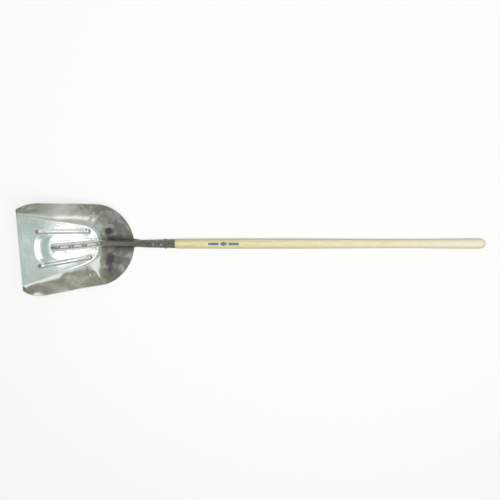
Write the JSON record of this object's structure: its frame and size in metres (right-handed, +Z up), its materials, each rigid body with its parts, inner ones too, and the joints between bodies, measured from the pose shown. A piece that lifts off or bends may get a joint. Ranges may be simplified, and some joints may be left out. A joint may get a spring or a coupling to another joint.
{
  "type": "grain scoop shovel",
  "caption": "Long-handled grain scoop: a wide pressed metal pan with raised sides and back, riveted to the tongue of a steel socket that holds a straight wooden handle.",
  "frame": {"origin": "middle of the ground under the scoop, which lies on its back with its hollow side up, resting on the strap behind the blade and on the end of the handle", "axes": "+X along the handle, away from the blade; +Y across the blade; +Z up, out of the hollow side of the blade"},
  "size_m": [1.7062, 0.3412, 0.1469],
  "materials": {
    "blade_sheet": "bright rolled sheet, fine scratches, slightly wavy reflections",
    "socket_steel": "dull grey mill finish, rough to the touch",
    "rivet_steel": "set rivet heads, lightly worn",
    "handle_wood": "pale ash, sanded, thin clear coat, small printed mark"
  },
  "bodies": {
    "root": {"blade": "blade_sheet", "socket": "socket_steel", "back_strap": "socket_steel", "handle": "handle_wood", "blade_rivet_1": "rivet_steel", "blade_rivet_2": "rivet_steel", "blade_rivet_3": "rivet_steel", "blade_rivet_4": "rivet_steel", "socket_rivet_1": "rivet_steel", "socket_rivet_2": "rivet_steel", "cross_rivet": "rivet_steel"}
  },
  "joints": []
}
